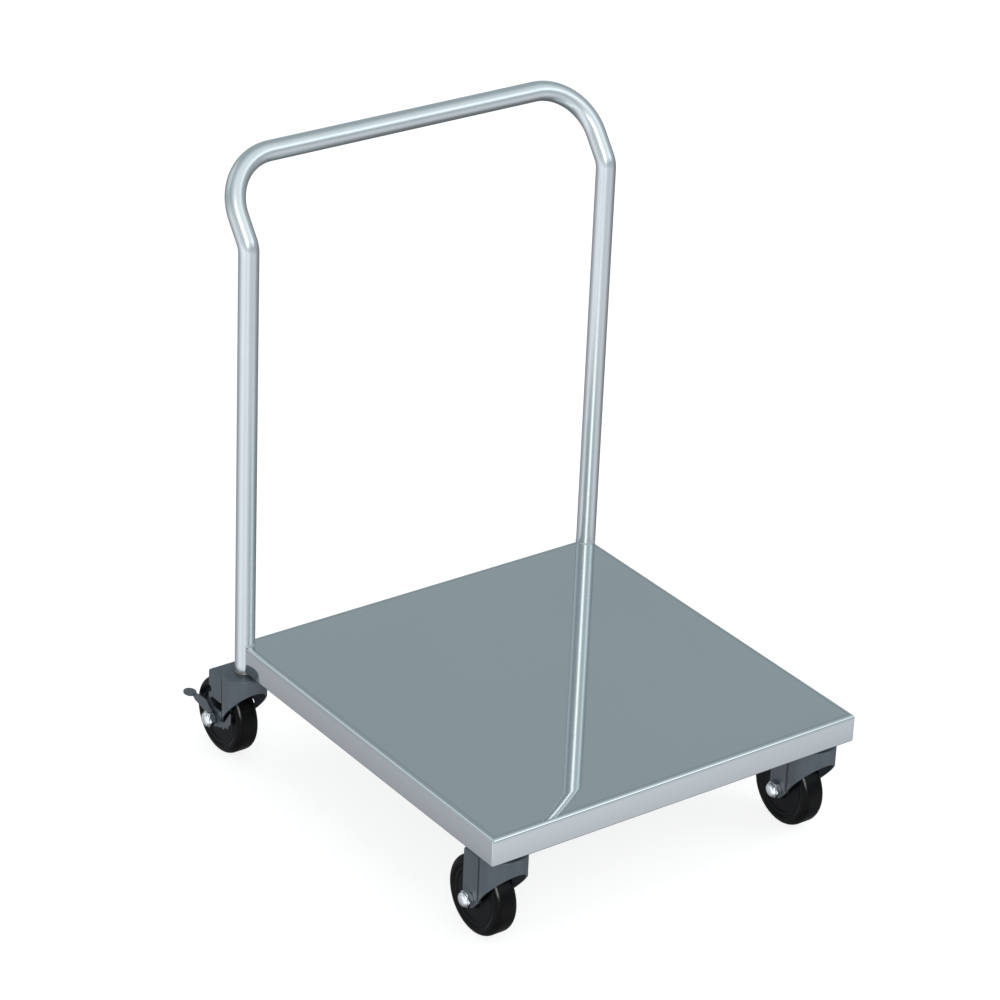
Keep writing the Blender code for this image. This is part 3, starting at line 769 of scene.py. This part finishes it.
pedal = dict(arm=22.6, thick=2.0, back=60.0, low=11.0, high=13.5, tab=24.6, halfWide=8.0, halfLong=9.5,
             hub=8.5, hubTurn=(150, 320), strip=[(14, 2), (40, 7), (46, 12.2), (38, 17), (14, 19.5)],
             stripRadii=[0, 10, 4, 3, 4, 10, 0], armEdge=0.4, tabEdge=0.7)


# A lever arm beside the wheel, an arc round the axle that runs out into a strip, and an oval foot tab
# at its end.
def makePedal(corner, axle):
    node = "brake_pedal_" + corner
    outward = 1 if "right" in corner else -1
    angle = np.radians(np.linspace(*pedal["hubTurn"], 20))
    hub = pedal["hub"] * np.stack([np.cos(angle), np.sin(angle)], axis=1)
    strip = np.concatenate([hub[-1:], pedal["strip"], hub[:1]])
    strip = rounded(strip, pedal["stripRadii"], 5, closed=False)
    outline = np.concatenate([hub, strip[1:-1]])
    span = sorted([outward * pedal["arm"], outward * (pedal["arm"] + pedal["thick"])])
    arm = plateAcrossX(outline, *span, axle, pedal["armEdge"])
    turn = np.arange(48) * 2 * np.pi / 48
    tab = np.stack([outward * pedal["tab"] + pedal["halfWide"] * np.cos(turn),
                    pedal["back"] + pedal["halfLong"] * (np.sin(turn) - 1)], axis=1)
    flat = plateAcrossZ(tab, pedal["low"], pedal["high"], axle, pedal["tabEdge"])
    caps = endCaps(arm) + endCaps(flat, arm.shape[0] * arm.shape[1])
    piece(node + "_lever", [(arm, False, True), (flat, False, True)], "brake_" + corner, "fork_grey",
          [node], caps, 30.0)


treads = []
for corner in corners:
    axlePoint = middleOf("tyre_" + corner)
    makeFork(corner, axlePoint)
    treads.append(makeWheel(corner, axlePoint))
    makeAxle(corner, axlePoint)
    makeStem(corner, axlePoint)
    if "rear" in corner:
        makeLockPlate(corner, axlePoint)
        makePedal(corner, axlePoint)
print("castors made")


# CAD nodes that stay get the same finishes.
slotOf = {entry["node"]: entry["material_slot"] for entry in frame["record"]["subparts"]}
for node, shown in frame["nodes"].items():
    shown.data.materials.clear()
    shown.data.materials.append(finishes[slotOf[node]])


studio = dict(floorSize=30.0, floorGrey=rgb(0.22, 0.22, 0.22), floorGlow=0.84, overhead=45.0, key=34.0,
              gleam=150.0, sky=rgb(0.43, 0.495, 0.52), ground=rgb(0.92, 0.955, 1.0),
              lamp=rgb(0.96, 0.985, 1.0), warm=rgb(1.0, 0.93, 0.84), toCamera=(-0.6, -0.8))
# Brightness, direction, and the cosines of the angles at which each patch fades out and is full.
patches = dict(broadGlow=(0.62, (0.0, -0.72, 0.69), 0.25, 0.98),
               panel=(1.0, (0.52, -0.71, 0.47), 0.965, 0.994),
               window=(0.45, (-0.46, 0.72, 0.52), 0.90, 0.98),
               paleWall=(0.40, (-0.98, 0.05, -0.15), 0.70, 0.97),
               paleGround=(0.25, (0.53, -0.72, -0.45), 0.90, 0.99))
viewerGlow = dict(cool=0.35, warm=2.7, edge=(0.972, 0.995))


# A pale square that glows by itself and catches a faint shade.
def makeFloor():
    paint = Paint("floorPale", Base_Color=studio["floorGrey"], Roughness=0.9, Specular_IOR_Level=0.0,
                  Emission_Color=rgb(1, 1, 1), Emission_Strength=studio["floorGlow"])
    half = studio["floorSize"] / 2
    square = [(-half, -half, 0), (half, -half, 0), (half, half, 0), (-half, half, 0)]
    mesh = bpy.data.meshes.new("floor")
    mesh.from_pydata(square, [], [(0, 1, 2, 3)])
    mesh.materials.append(paint.material)
    floor = bpy.data.objects.new("floor", mesh)
    floor.visible_glossy = False                            # the steel reflects the room's own light
    bpy.context.scene.collection.objects.link(floor)


# An oblong lamp turned to its target; with a list of pieces it lights their gleam and nothing else.
def softbox(name, place, target, size, power, only=()):
    light = bpy.data.lights.new(name, "AREA")
    light.shape = "RECTANGLE"
    light.size, light.size_y = size
    light.energy = power
    lamp = bpy.data.objects.new(name, light)
    lamp.location = place
    lamp.rotation_euler = (Vector(target) - Vector(place)).to_track_quat("-Z", "Y").to_euler()
    lamp.visible_glossy = bool(only)
    lamp.visible_diffuse = not only
    if only:
        group = bpy.data.collections.new(name)
        for made in only:
            group.objects.link(made)
        lamp.light_linking.receiver_collection = group
    bpy.context.scene.collection.objects.link(lamp)


# The room as the steel sees it: an even blue grey above the horizon; below it a level that rises
# towards the viewer and falls behind and straight down; and the patches, each brightest in its own
# direction. An upright strip in the viewer's direction is warm above the horizon and cool below it.
def makeRoom():
    world = bpy.data.worlds.new("room")
    world.use_nodes = True
    bpy.context.scene.world = world
    room = Nodes(world.node_tree)
    ray = room.node("TexCoord", {}, {}, "Generated")
    x, y, z = (room.node("SeparateXYZ", {}, {0: ray}, axis) for axis in "XYZ")

    def patch(name):
        brightness, direction, low, high = patches[name]
        along = sum((part * place for part, place in zip((x, y, z), direction)), 0.0)
        return brightness * room.ramp(along, low, high)

    nearX, nearY = studio["toCamera"]
    toward = x * nearX + y * nearY
    sideways = -nearY * x + nearX * y
    low = (0.61 + 0.43 * toward - 0.10 * sideways) * room.ramp(z, -1.0, -0.4, 0.35, 1.0)
    flat = z.maths("SQRT", 1.0 - z * z)
    heading = z.maths("DIVIDE", toward, flat)
    viewer = room.ramp(heading, *viewerGlow["edge"])
    coolGlow = viewerGlow["cool"] * viewer * room.ramp(z, 0.1, -0.1)
    glow = (patch("broadGlow") * room.ramp(z, 0.1, 0.6) + patch("panel") + patch("window")
            + patch("paleWall") + patch("paleGround") + coolGlow)
    warmGlow = viewerGlow["warm"] * viewer * room.ramp(z, 0.15, 0.35)
    warmGlow = warmGlow * room.ramp(z, 0.7, 0.85, 1.0, 0.0)
    above = room.ramp(z, -0.12, 0.12)                       # 1 above the horizon, 0 below
    level = low * (1.0 - above) + above
    tint = room.blend(above, studio["ground"], studio["sky"])
    plain = room.node("VectorMath", {"operation": "SCALE"}, {0: tint, "Scale": level})
    lamps = room.node("VectorMath", {"operation": "SCALE"}, {0: studio["lamp"][:3], "Scale": glow})
    warm = room.node("VectorMath", {"operation": "SCALE"}, {0: studio["warm"][:3], "Scale": warmGlow})
    both = room.node("VectorMath", {"operation": "ADD"}, {0: lamps, 1: warm})
    seen = room.node("VectorMath", {"operation": "ADD"}, {0: plain, 1: both})
    camera = room.node("LightPath", {}, {}, "Is Camera Ray")
    background = world.node_tree.nodes["Background"]
    room.feed(background.inputs["Color"], room.blend(camera, seen, rgb(1, 1, 1)))
    background.inputs["Strength"].default_value = 1.0


view = dict(place=(-2.4888, -3.2827, 2.4859), azimuth=-36.686, elevation=26.976, roll=2.472,
            lens=138.98, sensor=36.0)


# Looks back along its azimuth and elevation, then rolls about the line of sight.
def makeCamera():
    azimuth, elevation, roll = (np.radians(view[key]) for key in ("azimuth", "elevation", "roll"))
    forward = -np.array([np.sin(azimuth) * np.cos(elevation), -np.cos(azimuth) * np.cos(elevation),
                         np.sin(elevation)])
    right = np.cross(forward, upright)
    right /= np.linalg.norm(right)
    up = np.cross(right, forward)
    turnedRight = right * np.cos(roll) + up * np.sin(roll)
    turnedUp = -right * np.sin(roll) + up * np.cos(roll)
    lens = bpy.data.cameras.new("camera")
    lens.lens = view["lens"]
    lens.sensor_width = view["sensor"]
    camera = bpy.data.objects.new("camera", lens)
    matrix = np.eye(4)
    matrix[:3] = np.stack([turnedRight, turnedUp, -forward, view["place"]], axis=1)
    camera.matrix_world = Matrix(matrix.tolist())
    bpy.context.scene.collection.objects.link(camera)
    bpy.context.scene.camera = camera


makeFloor()
makeRoom()
softbox("overhead", (0.3, 0.0, 3.4), (0, 0, 0), (3.0, 3.0), studio["overhead"])
softbox("key", (2.6, -2.2, 2.4), (0, 0, 0.3), (1.6, 1.6), studio["key"])
softbox("gleam", (-0.8, -2.2, 1.3), (-0.2, 0, 0), (0.5, 1.5), studio["gleam"], treads)
bpy.context.scene.view_settings.view_transform = "Standard"
makeCamera()
print("stage set")
